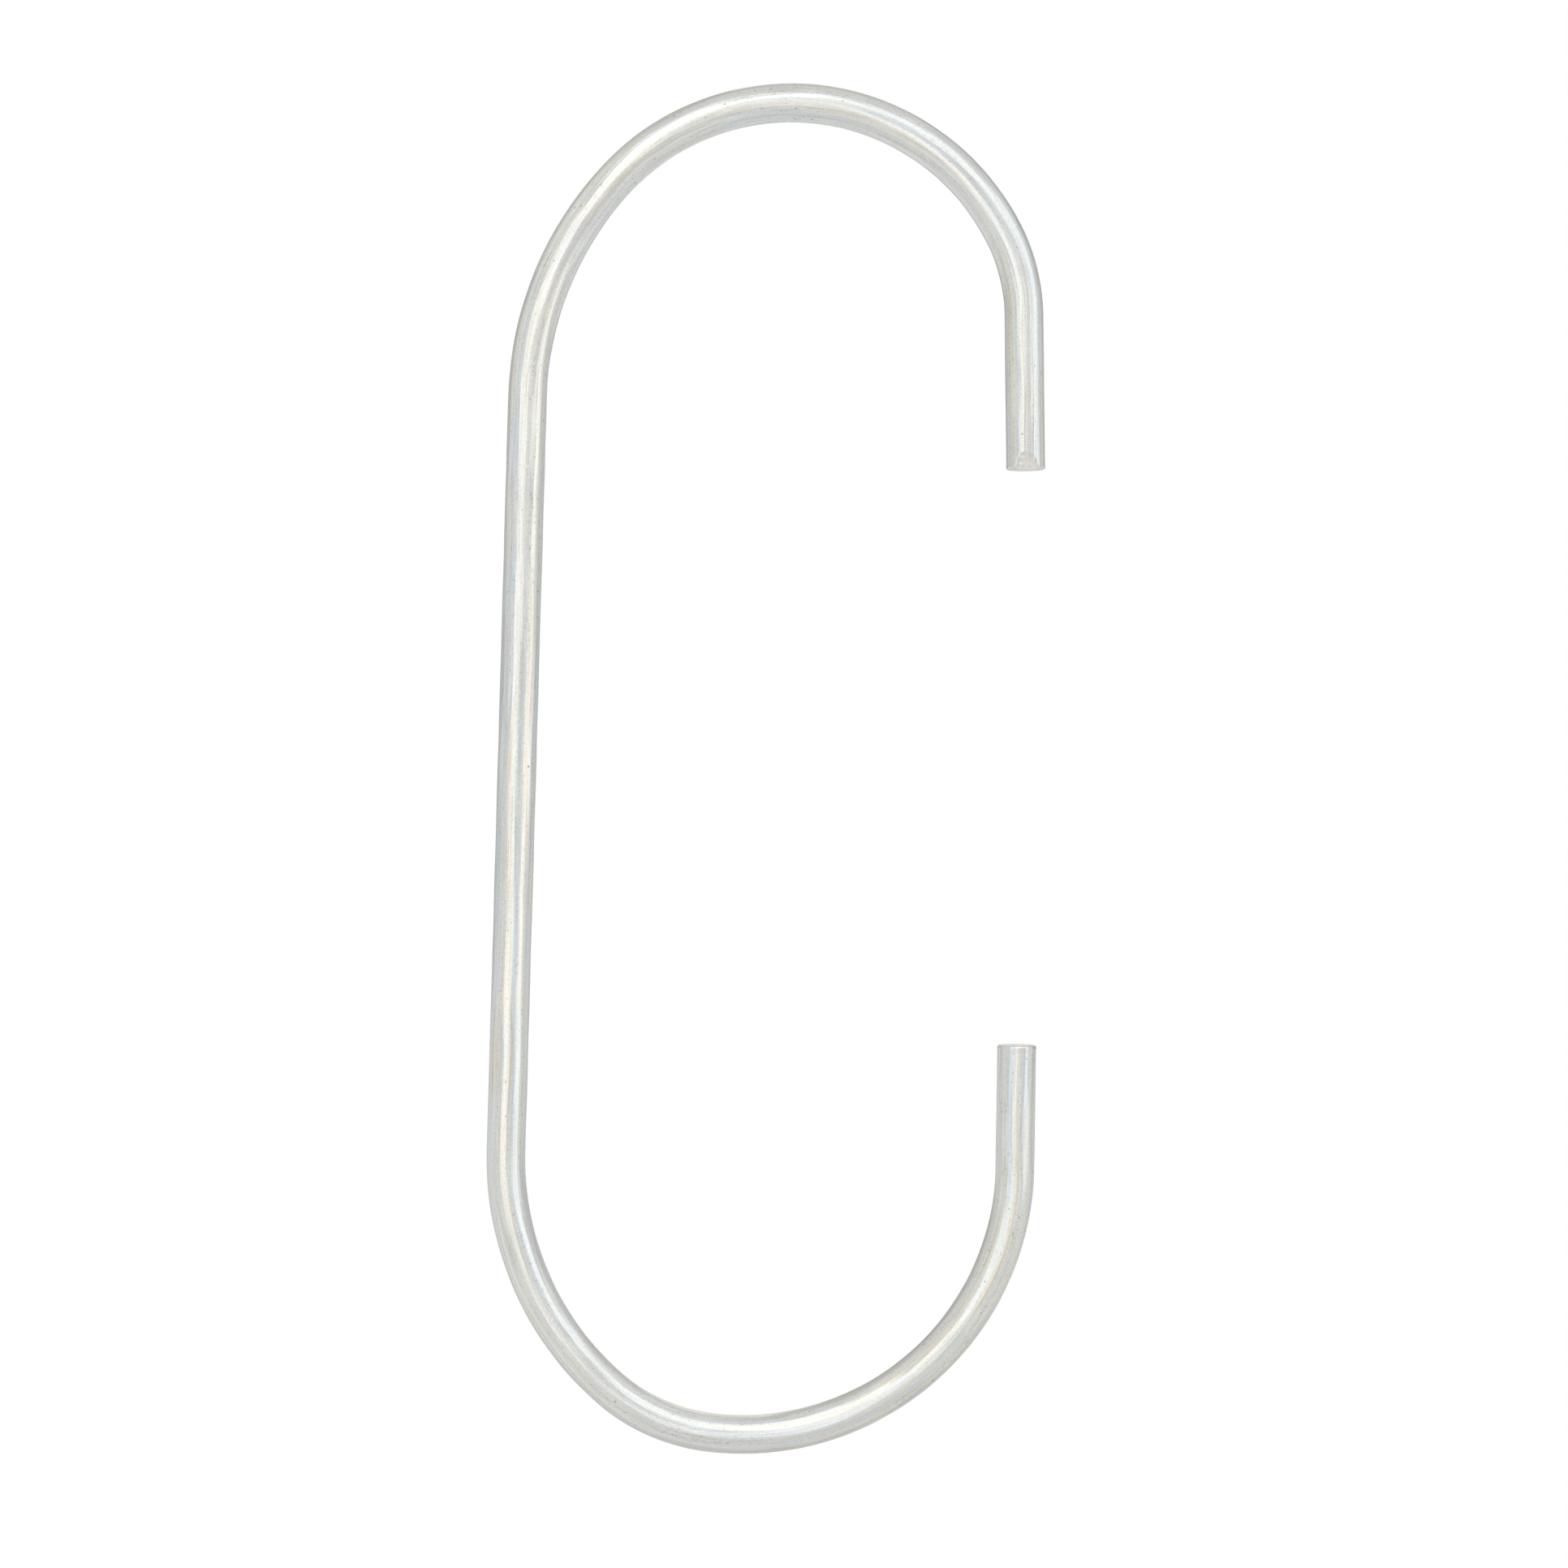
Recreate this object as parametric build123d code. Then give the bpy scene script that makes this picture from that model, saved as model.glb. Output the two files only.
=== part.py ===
"""A C-shaped hanging hook, bent from one length of zinc-coated steel wire.

The wire lies in the XZ plane. The straight stem is upright, the mouth of the C opens
towards +X, and the origin is the saddle on the inside of the upper bend, where the hook
hangs from its rail. All sizes are in millimetres and degrees.
"""
from build123d import *
import os

# Wire stock
wire_diameter = 4.0

# Straight stretches
stem_length = 77.0
upper_leg_length = 15.8
lower_leg_length = 12.5

# Upper bend. It tightens from the stem, over the crown, to the leg, which leans outwards.
upper_stem_side_radius = 34.0
upper_stem_side_turn = 41.3
upper_crown_radius = 24.3
upper_leg_side_radius = 19.0
upper_leg_side_turn = 26.0
upper_leg_flare = 2.3

# Lower bend. It is tightest at the heel, and its leg leans inwards.
lower_stem_side_radius = 31.0
lower_stem_side_turn = 49.7
lower_heel_radius = 19.0
lower_heel_turn = 33.8
lower_leg_side_radius = 27.7
lower_leg_toe_in = 0.75

# Sheared ends. The edge is rounded, and the blade has pressed a sloping flat on one side.
end_edge_radius = 0.35
shear_flat_depth = 0.5
shear_flat_slope = 15.0

wire_radius = wire_diameter / 2


def run_of_wire(start, heading, bends, straight):
    """Return the tangent edges of a run: bends of (radius, signed turn), then a straight."""
    edges = []
    point = start
    for radius, turn in bends:
        direction = Vector(1, 0).rotate(Axis.Z, heading)
        edges.append(JernArc(point, direction, radius, turn))
        point = edges[-1] @ 1
        heading += turn
    direction = Vector(1, 0).rotate(Axis.Z, heading)
    edges.append(Line(point, point + direction * straight))
    return edges


def upper_bend_and_stem():
    """Return the two runs that start at the crown: to the upper tip, and down the stem."""
    apex = Vector(0, wire_radius)
    crown_turn_to_leg = 90 - upper_leg_flare - upper_leg_side_turn
    to_leg = [
        (upper_crown_radius, -crown_turn_to_leg),
        (upper_leg_side_radius, -upper_leg_side_turn),
    ]
    crown_turn_to_stem = 90 - upper_stem_side_turn
    to_stem = [
        (upper_crown_radius, crown_turn_to_stem),
        (upper_stem_side_radius, upper_stem_side_turn),
    ]
    leg_run = run_of_wire(apex, 0, to_leg, upper_leg_length)
    stem_run = run_of_wire(apex, 180, to_stem, stem_length)
    return leg_run, stem_run


def lower_bend(stem_foot):
    """Return the run from the foot of the stem, round the lower bend, to the lower tip."""
    leg_side_turn = 180 + lower_leg_toe_in - lower_stem_side_turn - lower_heel_turn
    to_leg = [
        (lower_stem_side_radius, lower_stem_side_turn),
        (lower_heel_radius, lower_heel_turn),
        (lower_leg_side_radius, leg_side_turn),
    ]
    return run_of_wire(stem_foot, -90, to_leg, lower_leg_length)


def shear_end(wire, leg, flat_side):
    """Return the wire with the end of one leg sheared, its flat facing flat_side."""
    tip = leg @ 1
    outward = leg % 1
    edge_of_flat = tip + flat_side * (wire_radius - shear_flat_depth)
    hinge = Axis((0, 0, 0), flat_side.cross(outward))
    flat = Plane(origin=edge_of_flat, z_dir=flat_side.rotate(hinge, shear_flat_slope))
    cutter_size = 4 * wire_diameter
    cutter_seat = (Align.CENTER, Align.CENTER, Align.MIN)
    wire -= flat * Box(cutter_size, cutter_size, cutter_size, align=cutter_seat)
    end_face = wire.faces().sort_by_distance(tip)[0]
    return fillet(end_face.edges(), end_edge_radius)


upper_leg_run, stem_run = upper_bend_and_stem()
lower_leg_run = lower_bend(stem_run[-1] @ 1)
centreline = Plane.XZ * Wire(upper_leg_run + stem_run + lower_leg_run)
upper_leg = Plane.XZ * upper_leg_run[-1]
lower_leg = Plane.XZ * lower_leg_run[-1]
front = Vector(0, -1, 0)

section = Plane(origin=centreline @ 0, z_dir=centreline % 0) * Circle(wire_radius)
hook_wire = sweep(section, path=centreline)
hook_wire = shear_end(hook_wire, upper_leg, front)
hook_wire = shear_end(hook_wire, lower_leg, -front)

os.makedirs("parts", exist_ok=True)
export_step(hook_wire, "parts/c_hook.step")

box = hook_wire.bounding_box()
print("wire length", round(centreline.length, 2), "volume", round(hook_wire.volume, 1))
print("overall size", round(box.size.X, 2), round(box.size.Y, 2), round(box.size.Z, 2))
print("upper tip", upper_leg @ 1, "pointing", upper_leg % 1)
print("lower tip", lower_leg @ 1, "pointing", lower_leg % 1)
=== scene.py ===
"""Looks of a C-shaped hanging hook, bent from one length of zinc-coated steel wire.

The wire is swept along the hook's centreline by Geometry Nodes. Its die grooves, its
sheared ends and its coating are made from the coordinates of the wire before it was bent,
so they follow it round both bends. Lengths are in metres and angles in degrees, and a
pattern's cells are counted per millimetre.
"""
import logging
import math
from dataclasses import dataclass, replace
from enum import Enum
from typing import Any, Optional, Union

import bpy
from mathutils import Matrix, Vector


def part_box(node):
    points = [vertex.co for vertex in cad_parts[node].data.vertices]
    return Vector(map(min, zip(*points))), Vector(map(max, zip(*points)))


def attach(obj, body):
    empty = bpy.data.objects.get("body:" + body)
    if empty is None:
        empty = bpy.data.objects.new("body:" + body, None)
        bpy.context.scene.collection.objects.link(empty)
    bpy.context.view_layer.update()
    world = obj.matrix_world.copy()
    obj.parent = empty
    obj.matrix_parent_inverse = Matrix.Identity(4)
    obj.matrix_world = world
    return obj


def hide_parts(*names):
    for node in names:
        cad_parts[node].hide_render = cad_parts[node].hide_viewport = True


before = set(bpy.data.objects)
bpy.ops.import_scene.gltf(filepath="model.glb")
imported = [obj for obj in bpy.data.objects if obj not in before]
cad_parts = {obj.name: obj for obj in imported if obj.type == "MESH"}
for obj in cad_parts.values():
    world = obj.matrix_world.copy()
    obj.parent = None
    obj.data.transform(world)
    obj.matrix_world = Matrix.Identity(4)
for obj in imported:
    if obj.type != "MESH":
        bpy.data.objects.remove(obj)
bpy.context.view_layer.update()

NODE = "c_hook"
BODY = "root"
MM = 0.001
WHITE = (1.0, 1.0, 1.0, 1.0)

# Attributes that carry the straight wire's coordinates and its bare ends to the material
WIRE_PLACE = "wire_place"
BARE_CUT = "bare_cut"

log = logging.getLogger("c_hook")


class Socket:
    """A node's output. Arithmetic on it adds Math nodes to its tree."""

    def __init__(self, nodes: "Nodes", source: bpy.types.NodeSocket) -> None:
        """Wrap one output socket.

        Args:
            nodes: the builder of the tree that the socket is in.
            source: the output socket.
        """
        self.nodes = nodes
        self.source = source

    def __add__(self, other: "Number") -> "Socket":
        """Return this value plus the other."""
        return self.nodes.math("ADD", self, other)

    def __radd__(self, other: "Number") -> "Socket":
        """Return the other value plus this."""
        return self.nodes.math("ADD", other, self)

    def __sub__(self, other: "Number") -> "Socket":
        """Return this value less the other."""
        return self.nodes.math("SUBTRACT", self, other)

    def __rsub__(self, other: "Number") -> "Socket":
        """Return the other value less this."""
        return self.nodes.math("SUBTRACT", other, self)

    def __mul__(self, other: "Number") -> "Socket":
        """Return this value times the other."""
        return self.nodes.math("MULTIPLY", self, other)

    def __rmul__(self, other: "Number") -> "Socket":
        """Return the other value times this."""
        return self.nodes.math("MULTIPLY", other, self)

    def __truediv__(self, other: "Number") -> "Socket":
        """Return this value over the other."""
        return self.nodes.math("DIVIDE", self, other)

    def __rtruediv__(self, other: "Number") -> "Socket":
        """Return the other value over this."""
        return self.nodes.math("DIVIDE", other, self)

    def __gt__(self, other: "Number") -> "Socket":
        """Return 1 where this value is over the other, and else 0."""
        return self.nodes.math("GREATER_THAN", self, other)

    def __lt__(self, other: "Number") -> "Socket":
        """Return 1 where this value is under the other, and else 0."""
        return self.nodes.math("LESS_THAN", self, other)


Number = Union[Socket, float, int]
Place = tuple[Number, Number, Number]
Key = Union[str, int]
Colour = tuple[float, float, float, float]
Rise = tuple[float, float]
Weights = tuple[tuple[str, float], ...]


class Nodes:
    """Builds one node tree, of shader or of geometry nodes."""

    def __init__(self, tree: bpy.types.NodeTree) -> None:
        """Start on a tree.

        Args:
            tree: the node tree to add nodes to.
        """
        self.tree = tree

    def add(
        self, kind: str, settings: dict[str, Any], sockets: dict[Key, Any]
    ) -> bpy.types.Node:
        """Add any node.

        Args:
            kind: the node's type, such as ShaderNodeMath.
            settings: the node's own settings, set before its sockets.
            sockets: input sockets by name or place, each a value or a Socket.

        Returns:
            The new node.
        """
        node = self.tree.nodes.new(kind)
        for name, value in settings.items():
            setattr(node, name, value)
        for key, value in sockets.items():
            target = node.inputs[key]
            if isinstance(value, Socket):
                self.tree.links.new(value.source, target)
            else:
                target.default_value = value
        return node

    def out(
        self, kind: str, settings: dict[str, Any], sockets: dict[Key, Any], output: Key = 0
    ) -> Socket:
        """Add any node and return one of its outputs."""
        return Socket(self, self.add(kind, settings, sockets).outputs[output])

    def math(
        self, operation: str, first: Number, second: Number = 0.0, third: Number = 0.0
    ) -> Socket:
        """Return the result of a Math node on up to three values."""
        values = {0: first, 1: second, 2: third}
        return self.out("ShaderNodeMath", {"operation": operation}, values)

    def ramp_up(
        self, value: Number, start: Number, end: Number, low: Number = 0.0, high: Number = 1.0
    ) -> Socket:
        """Return low before start, high past end, and a straight line between them."""
        places = {0: value, 1: start, 2: end, 3: low, 4: high}
        return self.out("ShaderNodeMapRange", {"clamp": True}, places)

    def smooth_step(self, value: Number, start: Number, end: Number) -> Socket:
        """Return 0 before start, 1 past end, and a smooth rise between them."""
        settings = {"interpolation_type": "SMOOTHSTEP"}
        return self.out("ShaderNodeMapRange", settings, {0: value, 1: start, 2: end})

    def vector(self, x: Number, y: Number, z: Number) -> Socket:
        """Return a vector of three values."""
        return self.out("ShaderNodeCombineXYZ", {}, {0: x, 1: y, 2: z})

    def parts(self, vector: Socket) -> tuple[Socket, Socket, Socket]:
        """Return a vector's three values."""
        node = self.add("ShaderNodeSeparateXYZ", {}, {0: vector})
        return tuple(Socket(self, output) for output in node.outputs)

    def vector_math(self, operation: str, first: Any, second: Any) -> Socket:
        """Return the vector result of a Vector Math node on two vectors."""
        settings = {"operation": operation}
        return self.out("ShaderNodeVectorMath", settings, {0: first, 1: second})

    def scaled(self, vector: Socket, scale: Number) -> Socket:
        """Return a vector times a number."""
        settings = {"operation": "SCALE"}
        return self.out("ShaderNodeVectorMath", settings, {0: vector, "Scale": scale})

    def mix_colour(self, factor: Number, first: Any, second: Any) -> Socket:
        """Return the first colour at a factor of 0, the second at 1, and a mix between."""
        sockets = {0: factor, 6: first, 7: second}
        return self.out("ShaderNodeMix", {"data_type": "RGBA"}, sockets, 2)


def clear_nodes(owner: Union[bpy.types.Material, bpy.types.World]) -> Nodes:
    """Switch on the nodes of a material or a world, and empty its tree.

    Args:
        owner: the material or the world.

    Returns:
        The builder of its tree.
    """
    owner.use_nodes = True
    owner.node_tree.nodes.clear()
    return Nodes(owner.node_tree)


def add_object(name: str, data: bpy.types.ID) -> bpy.types.Object:
    """Add an object to the scene.

    Args:
        name: the object's name.
        data: its mesh, curve, lamp or camera.

    Returns:
        The new object.
    """
    item = bpy.data.objects.new(name, data)
    bpy.context.scene.collection.objects.link(item)
    return item


@dataclass(frozen=True)
class Pattern:
    """A noise on the straight wire.

    Across and along are its cells per millimetre across the wire and along it, and front is
    the count towards the hook's front, where that differs. Detail is the octaves of finer
    noise, and roughness is their strength. The seed picks the noise. With a rise, it is
    turned into marks: 0 before the rise, 1 past it.
    """

    across: float
    along: float
    detail: float
    roughness: float
    seed: float
    front: float = 0.0
    rise: Optional[Rise] = None

    def at(self, nodes: Nodes, place: Place) -> Socket:
        """Lay the pattern on the wire.

        Args:
            nodes: the tree's builder.
            place: millimetres from the wire's axis towards the inside of the hook, from it
                towards the hook's front, and along the wire from its upper tip.

        Returns:
            The pattern's value, about 0 to 1.
        """
        x, y, z = place
        cells = nodes.vector(x * self.across, y * (self.front or self.across), z * self.along)
        sockets = {
            "Vector": cells,
            "W": self.seed,
            "Scale": 1.0,
            "Detail": self.detail,
            "Roughness": self.roughness,
        }
        noise = nodes.out("ShaderNodeTexNoise", {"noise_dimensions": "4D"}, sockets)
        return nodes.smooth_step(noise, *self.rise) if self.rise else noise


class FlatSide(Enum):
    """The side of the hook that a shear blade has pressed flat, as its sign."""

    FRONT = 1.0
    BACK = -1.0


@dataclass(frozen=True)
class Stretch:
    """One stretch of wire: an arc of a radius and a turn, or a straight with no turn."""

    size: float
    turn: float = 0.0


@dataclass(frozen=True)
class HookForm:
    """The hook's centreline: two bends, a stem between them, and a leg at each end."""

    wire_radius: float
    stem: Stretch = Stretch(77.0 * MM)
    upper_leg: Stretch = Stretch(15.8 * MM)
    lower_leg: Stretch = Stretch(12.5 * MM)
    crown_radius: float = 24.3 * MM
    upper_stem_side: Stretch = Stretch(34.0 * MM, 41.3)
    upper_leg_side: Stretch = Stretch(19.0 * MM, 26.0)
    upper_leg_flare: float = 2.3
    lower_stem_side: Stretch = Stretch(31.0 * MM, 49.7)
    lower_heel: Stretch = Stretch(19.0 * MM, 33.8)
    lower_leg_side_radius: float = 27.7 * MM
    lower_leg_toe_in: float = 0.75
    point_spacing: float = 0.25 * MM

    def points(self) -> list[Vector]:
        """Walk the whole centreline.

        Returns:
            Its points, from the upper tip over the crown to the lower tip.
        """
        crown_to_leg = 90.0 - self.upper_leg_flare - self.upper_leg_side.turn
        crown_to_stem = 90.0 - self.upper_stem_side.turn
        lower_turned = self.lower_stem_side.turn + self.lower_heel.turn
        leg_run = [
            Stretch(self.crown_radius, -crown_to_leg),
            Stretch(self.upper_leg_side.size, -self.upper_leg_side.turn),
            self.upper_leg,
        ]
        stem_run = [
            Stretch(self.crown_radius, crown_to_stem),
            self.upper_stem_side,
            self.stem,
            self.lower_stem_side,
            self.lower_heel,
            Stretch(self.lower_leg_side_radius, 180.0 + self.lower_leg_toe_in - lower_turned),
            self.lower_leg,
        ]
        crown = Vector((0.0, 0.0, self.wire_radius))
        leg_points = self._walk(crown, 0.0, leg_run)
        stem_points = self._walk(crown, 180.0, stem_run)
        return leg_points[::-1] + [crown] + stem_points

    def _walk(self, start: Vector, heading: float, run: list[Stretch]) -> list[Vector]:
        """Follow a run of stretches.

        Args:
            start: the point where the run starts.
            heading: the direction at its start, in degrees from +X towards +Z.
            run: the stretches in order.

        Returns:
            The run's points, without its start.
        """
        points = [start]
        for stretch in run:
            corner = points[-1]
            turn = math.radians(stretch.turn)
            length = stretch.size * abs(turn) if turn else stretch.size
            count = math.ceil(length / self.point_spacing)
            for step in range(1, count + 1):
                half_turn = turn * step / count / 2.0
                if turn:
                    chord = 2.0 * stretch.size * math.sin(abs(half_turn))
                else:
                    chord = length * step / count
                angle = math.radians(heading) + half_turn
                points.append(corner + Vector((math.cos(angle), 0.0, math.sin(angle))) * chord)
            heading += stretch.turn
        return points[1:]


@dataclass(frozen=True)
class ShearedEnd:
    """How a blade has left an end of the wire. Both ends have the same sizes."""

    edge_radius: float = 0.35 * MM
    flat_depth: float = 0.5 * MM
    flat_slope: float = 15.0
    flat_softness: float = 0.03 * MM
    pressed_rise: Rise = (0.02 * MM, 0.10 * MM)
    bare_rise: Rise = (0.25 * MM, 0.05 * MM)
    torn_rise: Rise = (0.10 * MM, 0.0)


@dataclass(frozen=True)
class Relief:
    """What is cut into the skin of the mesh: grooves, waves, scratches and dents."""

    groove_depth: float = 0.03 * MM
    wave_depth: float = 0.04 * MM
    scratch_depth: float = 0.03 * MM
    dent_depth: float = 0.06 * MM
    tear_to_scratch: float = 2.0
    tip_rise: Rise = (0.0, 1.0 * MM)
    grooves: Pattern = Pattern(2.2, 0.04, 2.0, 0.6, 11.0)
    waves: Pattern = Pattern(0.35, 0.16, 1.0, 0.5, 12.0)
    wave_rise: Rise = (0.45, 0.75)
    scratches: Pattern = Pattern(0.4, 7.0, 2.0, 0.7, 13.0)
    tears: Pattern = Pattern(1.2, 0.0, 3.0, 0.6, 14.0, front=2.6)
    dents: Pattern = Pattern(1.1, 1.6, 2.0, 0.6, 15.0)
    dent_rise: Rise = (0.5, 0.8)


@dataclass(frozen=True)
class Pits:
    """Small dark pits in the coat, which gather in patches.

    A pit's cell has a chance, and the patches add to it. A pit's reach grows from nothing,
    where the chance is at the start of chance_rise, to full_reach, in cells, at its end.
    """

    across: float = 2.3
    along: float = 1.5
    gathering: float = 2.4
    chance_rise: Rise = (0.60, 1.25)
    full_reach: float = 0.28
    softness: float = 0.14

    def at(self, nodes: Nodes, place: Place, cloud: Socket) -> Socket:
        """Lay the pits on the wire.

        Args:
            nodes: the material's builder.
            place: the place on the straight wire, as for a Pattern.
            cloud: a wide pattern about 0 that gathers the pits.

        Returns:
            The pits' strength, 0 to 1.
        """
        x, y, z = place
        cells = nodes.vector(x * self.across, y * self.across, z * self.along)
        sockets = {"Vector": cells, "Scale": 1.0}
        voronoi = nodes.add("ShaderNodeTexVoronoi", {"feature": "F1"}, sockets)
        chance = nodes.parts(Socket(nodes, voronoi.outputs["Color"]))[0]
        chance = chance + cloud * self.gathering
        reach = nodes.ramp_up(chance, *self.chance_rise, 0.0, self.full_reach)
        distance = Socket(nodes, voronoi.outputs["Distance"])
        return nodes.ramp_up(reach - distance, 0.0, self.softness)


@dataclass(frozen=True)
class Nicks:
    """Short bright nicks that slant across the wire, in patches.

    The slant is how many cells the marks move on for each millimetre of a place.
    """

    slant: tuple[float, float, float] = (3.0, -2.0, 5.0)
    marks: Pattern = Pattern(1.2, 1.0, 2.0, 0.6, 7.0, rise=(0.66, 0.76))
    patches: Pattern = Pattern(0.6, 0.15, 1.0, 0.5, 8.0, rise=(0.52, 0.62))

    def at(self, nodes: Nodes, place: Place) -> Socket:
        """Lay the nicks on the wire.

        Args:
            nodes: the material's builder.
            place: the place on the straight wire, as for a Pattern.

        Returns:
            The nicks' strength, 0 to 1.
        """
        x, y, z = place
        slant_x, slant_y, slant_z = self.slant
        slanted = z * slant_z + x * slant_x + y * slant_y
        return self.marks.at(nodes, (x, y, slanted)) * self.patches.at(nodes, place)


@dataclass(frozen=True)
class ZincFinish:
    """The satin zinc coat of drawn wire, with its die lines, tints, pits and nicks.

    The drawn patterns follow the die's lines, which sway a little along the wire, and the
    grown ones don't. The weights say how strongly each layer acts on the coat's shade, its
    roughness and its height. The drawn and grown noises act on the first two by their
    distance from their middle.
    """

    name: str = "zinc_wire"
    colour: Colour = (0.640, 0.646, 0.620, 1.0)
    warm: Colour = (0.674, 0.649, 0.578, 1.0)
    cool: Colour = (0.608, 0.642, 0.658, 1.0)
    pit: Colour = (0.16, 0.16, 0.15, 1.0)
    bare_steel: Colour = (0.700, 0.680, 0.620, 1.0)
    edge_tint: Colour = (0.72, 0.72, 0.72, 1.0)
    cool_rise: Rise = (0.50, 0.66)
    warm_rise: Rise = (0.50, 0.36)
    cut_share: float = 0.8
    pit_share: float = 0.6
    roughness: float = 0.245
    bump_depth: float = 0.010 * MM

    sway: float = 0.9
    sway_across: Pattern = Pattern(0.0, 0.07, 1.0, 0.5, 21.0)
    sway_front: Pattern = Pattern(0.0, 0.07, 1.0, 0.5, 22.0)
    drawn: tuple[tuple[str, Pattern], ...] = (
        ("hairs", Pattern(9.0, 0.13, 1.0, 0.5, 1.0)),
        ("lines", Pattern(4.2, 0.035, 2.0, 0.6, 2.0)),
        ("facets", Pattern(2.0, 0.02, 1.0, 0.4, 17.0)),
        ("bands", Pattern(1.4, 0.018, 1.0, 0.5, 3.0)),
        ("tint", Pattern(2.4, 0.02, 1.0, 0.5, 6.0)),
        ("rows", Pattern(3.2, 0.05, 1.0, 0.5, 18.0, rise=(0.50, 0.62))),
        ("drags", Pattern(5.0, 0.09, 1.0, 0.5, 10.0, rise=(0.62, 0.74))),
    )
    grown: tuple[tuple[str, Pattern], ...] = (
        ("grain", Pattern(6.5, 4.2, 3.0, 0.75, 4.0)),
        ("specks", Pattern(4.6, 2.6, 2.0, 0.65, 16.0, rise=(0.55, 0.68))),
        ("cloud", Pattern(0.8, 0.22, 3.0, 0.6, 5.0)),
        ("swell", Pattern(0.45, 0.06, 1.0, 0.5, 9.0)),
    )
    stray_specks: float = 0.25
    rowed_specks: float = 1.75
    pits: Pits = Pits()
    nicks: Nicks = Nicks()

    spread_layers: tuple[str, ...] = ("hairs", "lines", "bands", "grain", "cloud")
    shade_weights: Weights = (
        ("hairs", 0.26),
        ("lines", 0.56),
        ("bands", 0.36),
        ("grain", 0.50),
        ("cloud", 0.18),
        ("nicks", 0.25),
        ("drags", -0.12),
        ("specks", -0.15),
    )
    roughness_weights: Weights = (
        ("lines", 0.18),
        ("cloud", 0.25),
        ("cut", 0.10),
        ("pits", 0.2),
    )
    height_weights: Weights = (
        ("hairs", 0.8),
        ("lines", 1.8),
        ("facets", 6.0),
        ("grain", 0.5),
        ("swell", 26.0),
        ("pits", -1.0),
        ("nicks", -1.0),
    )

    def build(self) -> bpy.types.Material:
        """Build the material, whose patterns lie on the coordinates of the straight wire.

        Returns:
            The material.
        """
        material = bpy.data.materials.new(self.name)
        nodes = clear_nodes(material)
        wire = nodes.out("ShaderNodeAttribute", {"attribute_name": WIRE_PLACE}, {}, "Vector")
        place = nodes.parts(nodes.scaled(wire, 1.0 / MM))
        layers = self._layers(nodes, place)
        spread = {name: layers[name] - 0.5 for name in self.spread_layers}
        layers["pits"] = self.pits.at(nodes, place, spread["cloud"])
        about_middle = {**layers, **spread}
        shade = self._weighed(1.0, about_middle, self.shade_weights)
        roughness = self._weighed(self.roughness, about_middle, self.roughness_weights)
        height = self._weighed(0.0, layers, self.height_weights)

        coolness = nodes.smooth_step(layers["tint"], *self.cool_rise)
        warmth = nodes.smooth_step(layers["tint"], *self.warm_rise)
        colour = nodes.mix_colour(coolness, self.colour, self.cool)
        colour = nodes.mix_colour(warmth, colour, self.warm)
        colour = nodes.mix_colour(layers["cut"] * self.cut_share, colour, self.bare_steel)
        colour = nodes.scaled(colour, shade)
        colour = nodes.mix_colour(layers["pits"] * self.pit_share, colour, self.pit)

        relief = {"Strength": 1.0, "Distance": self.bump_depth, "Height": height}
        surface = {
            "Base Color": colour,
            "Metallic": 1.0,
            "Roughness": roughness,
            "Specular Tint": self.edge_tint,
            "Normal": nodes.out("ShaderNodeBump", {}, relief),
        }
        shader = nodes.out("ShaderNodeBsdfPrincipled", {}, surface)
        nodes.add("ShaderNodeOutputMaterial", {}, {"Surface": shader})
        return material

    def _layers(self, nodes: Nodes, place: Place) -> dict[str, Socket]:
        """Lay every pattern of the coat but the pits.

        Args:
            nodes: the material's builder.
            place: the place on the straight wire, as for a Pattern.

        Returns:
            The layers by name.
        """
        x, y, z = place
        sway_x = (self.sway_across.at(nodes, (0.0, 0.0, z)) - 0.5) * self.sway
        sway_y = (self.sway_front.at(nodes, (0.0, 0.0, z)) - 0.5) * self.sway
        drawn_place = (x + sway_x, y + sway_y, z)
        layers = {name: pattern.at(nodes, drawn_place) for name, pattern in self.drawn}
        layers.update({name: pattern.at(nodes, place) for name, pattern in self.grown})
        in_rows = self.stray_specks + layers["rows"] * self.rowed_specks
        layers["specks"] = layers["specks"] * in_rows
        layers["nicks"] = self.nicks.at(nodes, place)
        layers["cut"] = nodes.out("ShaderNodeAttribute", {"attribute_name": BARE_CUT}, {}, "Fac")
        return layers

    @staticmethod
    def _weighed(start: float, layers: dict[str, Socket], weights: Weights) -> Number:
        """Add up layers.

        Args:
            start: the value without any layer.
            layers: the layers by name.
            weights: the names of the layers to add, each with its weight.

        Returns:
            The start plus each named layer times its weight.
        """
        total = start
        for name, weight in weights:
            total = total + layers[name] * weight
        return total


@dataclass(frozen=True)
class Skin:
    """Where each point of the wire's skin lies on the straight wire.

    Inward and forward are its distances from the wire's axis, towards the inside of the hook
    and towards the hook's front. Along is its distance from the upper tip, and depth the one
    from the nearer tip. Lower_half is 1 on the half with the lower tip, and pressed is 1 on
    the flats.
    """

    length: Socket
    inward: Socket
    forward: Socket
    along: Socket
    depth: Socket
    lower_half: Socket
    pressed: Number = 0.0


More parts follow.
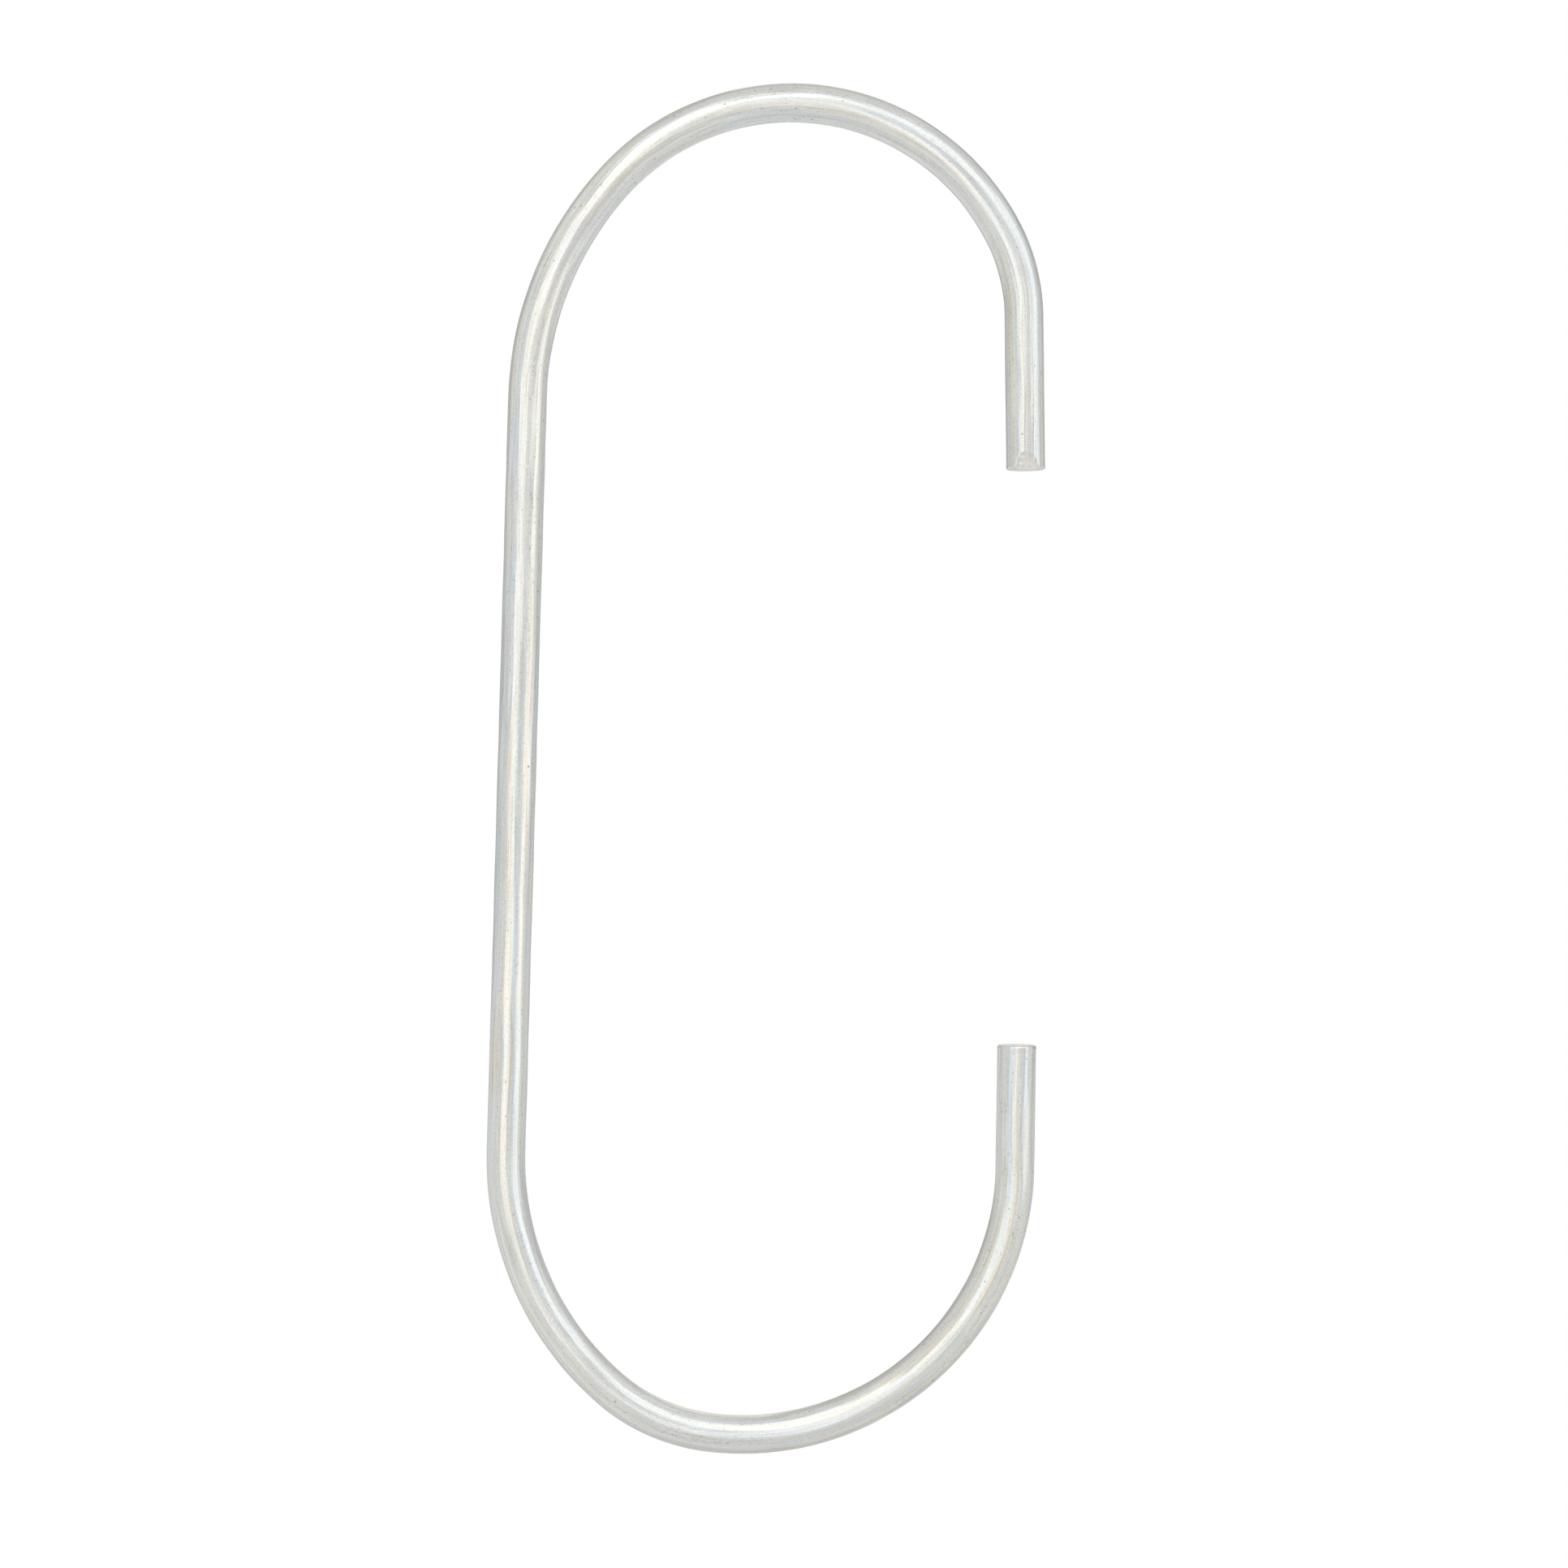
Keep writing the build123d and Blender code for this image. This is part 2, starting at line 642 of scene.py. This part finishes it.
@dataclass
class HookWire:
    """The bent wire: its mesh, its end faces and its dressing.

    The mesh is a grid whose rows are rings round the wire. They run from the middle of one
    end face over its rolled edge and along the wire to the middle of the other, and lie
    closer together over fine_length from each rolled edge.
    """

    form: HookForm
    finish: ZincFinish
    upper_flat: FlatSide
    lower_flat: FlatSide
    end: ShearedEnd = ShearedEnd()
    relief: Relief = Relief()
    columns: int = 144
    cap_rings: int = 12
    edge_rings: int = 8
    fine_rings: int = 44
    all_rings: int = 651
    fine_length: float = 3.5 * MM
    merge_distance: float = 0.001 * MM
    name: str = "hook_wire"

    def centreline(self) -> bpy.types.Object:
        """Add a curve along the wire's centreline.

        Returns:
            The curve's object.
        """
        points = self.form.points()
        curve = bpy.data.curves.new("hook_centreline", "CURVE")
        curve.dimensions = "3D"
        spline = curve.splines.new("POLY")
        spline.points.add(len(points) - 1)
        for target, point in zip(spline.points, points):
            target.co = (*point, 1.0)
        return add_object(curve.name, curve)

    def sizes(self) -> dict[str, Union[int, float]]:
        """Return the sweep's named inputs and their values."""
        return {
            "Wire Radius": self.form.wire_radius,
            "Edge Radius": self.end.edge_radius,
            "Flat Depth": self.end.flat_depth,
            "Flat Slope": math.radians(self.end.flat_slope),
            "Fine Length": self.fine_length,
            "Groove Depth": self.relief.groove_depth,
            "Wave Depth": self.relief.wave_depth,
            "Scratch Depth": self.relief.scratch_depth,
            "Dent Depth": self.relief.dent_depth,
            "Columns": self.columns,
            "Rings": self.all_rings,
            "Cap Rings": self.cap_rings,
            "Edge Rings": self.edge_rings,
            "Fine Rings": self.fine_rings,
        }

    def sweep_tree(self) -> bpy.types.NodeTree:
        """Build the geometry tree that sweeps the wire along its centreline.

        Returns:
            A tree whose inputs are the curve, the wire's named sizes and its finish.
        """
        tree = bpy.data.node_groups.new("sweep_drawn_wire", "GeometryNodeTree")
        tree.is_modifier = True
        tree.interface.new_socket("Geometry", in_out="INPUT", socket_type="NodeSocketGeometry")
        for name, value in self.sizes().items():
            kind = "NodeSocketInt" if isinstance(value, int) else "NodeSocketFloat"
            tree.interface.new_socket(name, in_out="INPUT", socket_type=kind)
        tree.interface.new_socket("Finish", in_out="INPUT", socket_type="NodeSocketMaterial")
        tree.interface.new_socket("Geometry", in_out="OUTPUT", socket_type="NodeSocketGeometry")
        nodes = Nodes(tree)
        given = nodes.add("NodeGroupInput", {}, {})
        size = {name: Socket(nodes, given.outputs[name]) for name in self.sizes()}
        curve = Socket(nodes, given.outputs["Geometry"])

        skin = self._round_wire(nodes, size, curve)
        skin = self._press_flats(nodes, size, skin)
        skin = self._cut_relief(nodes, size, skin)
        sockets = {"Vertices X": size["Rings"], "Vertices Y": size["Columns"] + 1}
        mesh = nodes.out("GeometryNodeMeshGrid", {}, sockets, "Mesh")
        place = self._bend(nodes, curve, skin)
        mesh = nodes.out("GeometryNodeSetPosition", {}, {"Geometry": mesh, "Position": place})
        mesh = self._store(nodes, mesh, skin)
        sockets = {"Geometry": mesh, "Distance": self.merge_distance}
        mesh = nodes.out("GeometryNodeMergeByDistance", {}, sockets)
        mesh = nodes.out("GeometryNodeSetShadeSmooth", {}, {0: mesh})
        mesh = nodes.out("GeometryNodeRealizeInstances", {}, {0: mesh})
        sockets = {"Geometry": mesh, "Material": Socket(nodes, given.outputs["Finish"])}
        mesh = nodes.out("GeometryNodeSetMaterial", {}, sockets)
        nodes.add("NodeGroupOutput", {}, {"Geometry": mesh})
        return tree

    @staticmethod
    def _round_wire(nodes: Nodes, size: dict[str, Socket], curve: Socket) -> Skin:
        """Lay the grid's points on a straight round wire with rolled edges.

        Args:
            nodes: the tree's builder.
            size: the tree's named sizes.
            curve: the centreline.

        Returns:
            The plain skin.
        """
        row_length = size["Columns"] + 1
        last_ring = size["Rings"] - 1
        half_rings = last_ring / 2.0
        index = nodes.out("GeometryNodeInputIndex", {}, {})
        ring = nodes.math("FLOOR", (index + 0.5) / row_length)
        column = index - ring * row_length
        # The turn is backwards, so that the faces point outwards
        around = column / size["Columns"] * -math.tau

        from_end = nodes.math("MINIMUM", ring, last_ring - ring)
        edge_start = size["Cap Rings"]
        edge_end = edge_start + size["Edge Rings"]
        fine_end = edge_end + size["Fine Rings"]
        roll = nodes.ramp_up(from_end, edge_start, edge_end, 0.0, math.pi / 2.0)
        face_radius = size["Wire Radius"] - size["Edge Radius"]
        radius = nodes.ramp_up(from_end, 0.0, edge_start, 0.0, face_radius)
        radius = radius + size["Edge Radius"] * nodes.math("SINE", roll)

        length = nodes.out("GeometryNodeCurveLength", {}, {0: curve})
        rest = length / 2.0 - size["Edge Radius"] - size["Fine Length"]
        depth = size["Edge Radius"] * (1.0 - nodes.math("COSINE", roll))
        depth = depth + nodes.ramp_up(from_end, edge_end, fine_end, 0.0, size["Fine Length"])
        depth = depth + nodes.ramp_up(from_end, fine_end, half_rings, 0.0, rest)
        lower_half = ring > half_rings
        return Skin(
            length=length,
            inward=radius * nodes.math("COSINE", around),
            forward=radius * nodes.math("SINE", around),
            along=depth + lower_half * (length - 2.0 * depth),
            depth=depth,
            lower_half=lower_half,
        )

    def _press_flats(self, nodes: Nodes, size: dict[str, Socket], skin: Skin) -> Skin:
        """Press each end's sloping flat, with its dents, into the round wire.

        Args:
            nodes: the tree's builder.
            size: the tree's named sizes.
            skin: the plain skin.

        Returns:
            The skin with its flats.
        """
        slope = nodes.math("TANGENT", size["Flat Slope"])
        dents = self.relief.dents.at(nodes, (skin.inward / MM, 0.0, skin.along / MM))
        dents = nodes.ramp_up(dents, *self.relief.dent_rise)
        shoulder = size["Wire Radius"] - size["Flat Depth"]
        shoulder = shoulder - dents * size["Dent Depth"]
        held = skin.forward
        ends = ((self.upper_flat, skin.along), (self.lower_flat, skin.length - skin.along))
        for flat, from_tip in ends:
            side = flat.value
            limit = shoulder + from_tip * slope
            kept = nodes.math("SMOOTH_MIN", held * side, limit, self.end.flat_softness)
            held = side * kept
        moved = nodes.math("ABSOLUTE", skin.forward - held)
        pressed = nodes.smooth_step(moved, *self.end.pressed_rise)
        return replace(skin, forward=held, pressed=pressed)

    def _cut_relief(self, nodes: Nodes, size: dict[str, Socket], skin: Skin) -> Skin:
        """Cut the die's grooves, the coat's waves and the blade's scratches into the skin.

        Args:
            nodes: the tree's builder.
            size: the tree's named sizes.
            skin: the skin with its flats.

        Returns:
            The finished skin.
        """
        place = (skin.inward / MM, skin.forward / MM, skin.along / MM)
        grooves = self.relief.grooves.at(nodes, place)
        waves = nodes.ramp_up(self.relief.waves.at(nodes, place), *self.relief.wave_rise)
        sunk = grooves * size["Groove Depth"] + waves * size["Wave Depth"]
        sunk = sunk * nodes.smooth_step(skin.depth, *self.relief.tip_rise)
        scratches = self.relief.scratches.at(nodes, place)
        sunk = sunk + skin.pressed * scratches * size["Scratch Depth"]
        keep = 1.0 - sunk / size["Wire Radius"]

        tears = self.relief.tears.at(nodes, (place[0], place[1], 0.0))
        torn = nodes.smooth_step(skin.depth, *self.end.torn_rise)
        into_wire = 1.0 - 2.0 * skin.lower_half
        tear = into_wire * torn * tears * size["Scratch Depth"]
        return replace(
            skin,
            inward=skin.inward * keep,
            forward=skin.forward * keep,
            along=skin.along + tear * self.relief.tear_to_scratch,
        )

    @staticmethod
    def _bend(nodes: Nodes, curve: Socket, skin: Skin) -> Socket:
        """Bend the straight wire along its centreline.

        Args:
            nodes: the tree's builder.
            curve: the centreline.
            skin: the finished skin.

        Returns:
            Each point's position.
        """
        sockets = {"Curves": curve, "Length": skin.along}
        sample = nodes.add("GeometryNodeSampleCurve", {"mode": "LENGTH"}, sockets)
        position = Socket(nodes, sample.outputs["Position"])
        tangent = Socket(nodes, sample.outputs["Tangent"])
        to_front = (0.0, -1.0, 0.0)
        to_inside = nodes.vector_math("CROSS_PRODUCT", to_front, tangent)
        inward = nodes.scaled(to_inside, skin.inward)
        forward = nodes.scaled(nodes.vector(*to_front), skin.forward)
        offset = nodes.vector_math("ADD", inward, forward)
        return nodes.vector_math("ADD", position, offset)

    def _store(self, nodes: Nodes, mesh: Socket, skin: Skin) -> Socket:
        """Store on the mesh what its material reads.

        Args:
            nodes: the tree's builder.
            mesh: the mesh.
            skin: the finished skin.

        Returns:
            The mesh with its attributes.
        """
        wire_place = nodes.vector(skin.inward, skin.forward, skin.along)
        bare = nodes.smooth_step(skin.depth, *self.end.bare_rise)
        cut = nodes.math("MAXIMUM", skin.pressed, bare)
        attributes = ((WIRE_PLACE, "FLOAT_VECTOR", wire_place), (BARE_CUT, "FLOAT", cut))
        for name, data_type, value in attributes:
            settings = {"data_type": data_type, "domain": "POINT"}
            sockets = {"Geometry": mesh, "Name": name, "Value": value}
            mesh = nodes.out("GeometryNodeStoreNamedAttribute", settings, sockets)
        return mesh

    def build(self) -> bpy.types.Object:
        """Sweep the wire, make it a plain mesh and dress it.

        Returns:
            The finished piece, at the origin.
        """
        line = self.centreline()
        tree = self.sweep_tree()
        modifier = line.modifiers.new("sweep", "NODES")
        modifier.node_group = tree
        values = {**self.sizes(), "Finish": self.finish.build()}
        for item in tree.interface.items_tree:
            if item.in_out == "INPUT" and item.name in values:
                modifier[item.identifier] = values[item.name]
        graph = bpy.context.evaluated_depsgraph_get()
        mesh = bpy.data.meshes.new_from_object(line.evaluated_get(graph))
        line.modifiers.remove(modifier)
        bpy.data.objects.remove(line)
        mesh.name = self.name
        return add_object(self.name, mesh)


@dataclass(frozen=True)
class Softbox:
    """A flat lamp that faces the hook.

    Its azimuth is turned from the hook's front towards +X, and its elevation upwards.
    """

    name: str
    azimuth: float
    elevation: float
    distance: float
    width: float
    height: float
    radiance: float

    def build(self, target: Vector) -> None:
        """Add the lamp.

        Args:
            target: the point that it faces.
        """
        lamp = bpy.data.lights.new(self.name, "AREA")
        lamp.shape = "RECTANGLE"
        lamp.size = self.width
        lamp.size_y = self.height
        lamp.energy = self.radiance * math.pi * self.width * self.height
        turn, rise = math.radians(self.azimuth), math.radians(self.elevation)
        level = math.cos(rise)
        away = Vector((math.sin(turn) * level, -math.cos(turn) * level, math.sin(rise)))
        owner = add_object(self.name, lamp)
        owner.location = target + away * self.distance
        owner.rotation_euler = away.to_track_quat("Z", "Y").to_euler()


@dataclass(frozen=True)
class Studio:
    """The plain pale floor, the soft lamps, the world and the camera.

    The lens and the sensor are in millimetres.
    """

    frame_width: float = 0.15993
    lens: float = 100.0
    sensor: float = 36.0
    roll: float = 1.63
    aim: tuple[float, float, float] = (0.000555, 0.0, -0.067478)
    floor_gap: float = 0.09
    floor_size: float = 6.0
    floor_fade: Rise = (0.06, 0.30)
    floor_colour: Colour = (0.88, 0.88, 0.87, 1.0)
    near_white: float = 0.7
    world_level: float = 0.62
    back_level: float = 0.80
    back_rise: Rise = (0.05, 0.45)
    softboxes: tuple[Softbox, ...] = (
        Softbox("left_softbox", -16.0, 4.0, 0.7, 0.46, 1.0, 0.48),
        Softbox("right_softbox", 60.0, 6.0, 0.7, 0.36, 1.0, 0.48),
        Softbox("top_softbox", 5.0, 47.0, 0.7, 0.90, 0.36, 0.66),
        Softbox("rear_softbox", 176.0, 14.0, 0.7, 0.30, 0.8, 0.55),
    )

    def build(self, lowest: float) -> None:
        """Add the whole stage.

        Args:
            lowest: the height of the hook's lowest point.
        """
        self._camera()
        self._world()
        self._floor(lowest - self.floor_gap)
        for softbox in self.softboxes:
            softbox.build(Vector(self.aim))
        bpy.context.scene.view_settings.view_transform = "Standard"

    def _camera(self) -> None:
        """Add the camera, level with the hook's middle and rolled as the hook leans."""
        data = bpy.data.cameras.new("camera")
        data.lens = self.lens
        data.sensor_width = self.sensor
        camera = add_object("camera", data)
        distance = self.frame_width * self.lens / self.sensor
        camera.location = Vector(self.aim) + Vector((0.0, -distance, 0.0))
        facing = Matrix.Rotation(math.radians(90.0), 4, "X")
        rolled = facing @ Matrix.Rotation(math.radians(self.roll), 4, "Z")
        camera.rotation_euler = rolled.to_euler()
        bpy.context.scene.camera = camera

    def _world(self) -> None:
        """Make the world white where it is seen, and a soft grey light elsewhere."""
        world = bpy.data.worlds.new("studio_world")
        nodes = clear_nodes(world)
        seen = self._seen(nodes)
        direction = nodes.parts(nodes.out("ShaderNodeTexCoord", {}, {}, "Generated"))
        behind = nodes.smooth_step(direction[1], *self.back_rise)
        mirrored = 1.0 - (1.0 - self._camera_ray(nodes)) * behind * (1.0 - self.back_level)
        level = self.world_level + seen * (mirrored - self.world_level)
        light = nodes.out("ShaderNodeBackground", {}, {"Color": WHITE, "Strength": level})
        nodes.add("ShaderNodeOutputWorld", {}, {"Surface": light})
        bpy.context.scene.world = world

    @staticmethod
    def _camera_ray(nodes: Nodes) -> Socket:
        """Return 1 for what the camera sees directly."""
        return nodes.out("ShaderNodeLightPath", {}, {}, "Is Camera Ray")

    @staticmethod
    def _seen(nodes: Nodes) -> Socket:
        """Tell what is seen, directly, in metal or through glass.

        Args:
            nodes: the tree's builder.

        Returns:
            1 for what is seen, and else 0.
        """
        path = nodes.add("ShaderNodeLightPath", {}, {})
        rays = ("Is Camera Ray", "Is Glossy Ray", "Is Transmission Ray")
        camera, glossy, transmission = (Socket(nodes, path.outputs[ray]) for ray in rays)
        return nodes.math("MAXIMUM", nodes.math("MAXIMUM", camera, glossy), transmission)

    def _floor(self, height: float) -> None:
        """Add the floor, which fades to plain white away from the hook.

        Args:
            height: the floor's height.
        """
        half = self.floor_size / 2.0
        corners = [(-half, -half), (half, -half), (half, half), (-half, half)]
        mesh = bpy.data.meshes.new("floor")
        mesh.from_pydata([(x, y, height) for x, y in corners], [], [(0, 1, 2, 3)])
        floor = add_object("floor", mesh)
        material = bpy.data.materials.new("floor")
        nodes = clear_nodes(material)
        place = nodes.out("ShaderNodeTexCoord", {}, {}, "Object")
        away = nodes.out("ShaderNodeVectorMath", {"operation": "LENGTH"}, {0: place}, "Value")
        fade = nodes.smooth_step(away, *self.floor_fade)
        white = nodes.out("ShaderNodeEmission", {}, {"Color": WHITE, "Strength": 1.0})
        paper = nodes.out("ShaderNodeBsdfDiffuse", {}, {"Color": self.floor_colour})
        near = self._camera_ray(nodes) * (1.0 - fade) * self.near_white
        share = self._seen(nodes) * fade + near
        mixed = nodes.out("ShaderNodeMixShader", {}, {0: share, 1: paper, 2: white})
        nodes.add("ShaderNodeOutputMaterial", {}, {"Surface": mixed})
        mesh.materials.append(material)


def main() -> None:
    """Build the hook, dress it and set the stage."""
    logging.basicConfig(level=logging.INFO, format="%(message)s")
    low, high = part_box(NODE)
    form = HookForm(wire_radius=(high.y - low.y) / 2.0)
    wire = HookWire(form, ZincFinish(), FlatSide.FRONT, FlatSide.BACK)
    piece = wire.build()
    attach(piece, BODY)
    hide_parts(NODE)
    log.info("%s: %d faces", piece.name, len(piece.data.polygons))
    Studio().build(low.z)


if __name__ == "__main__":
    main()
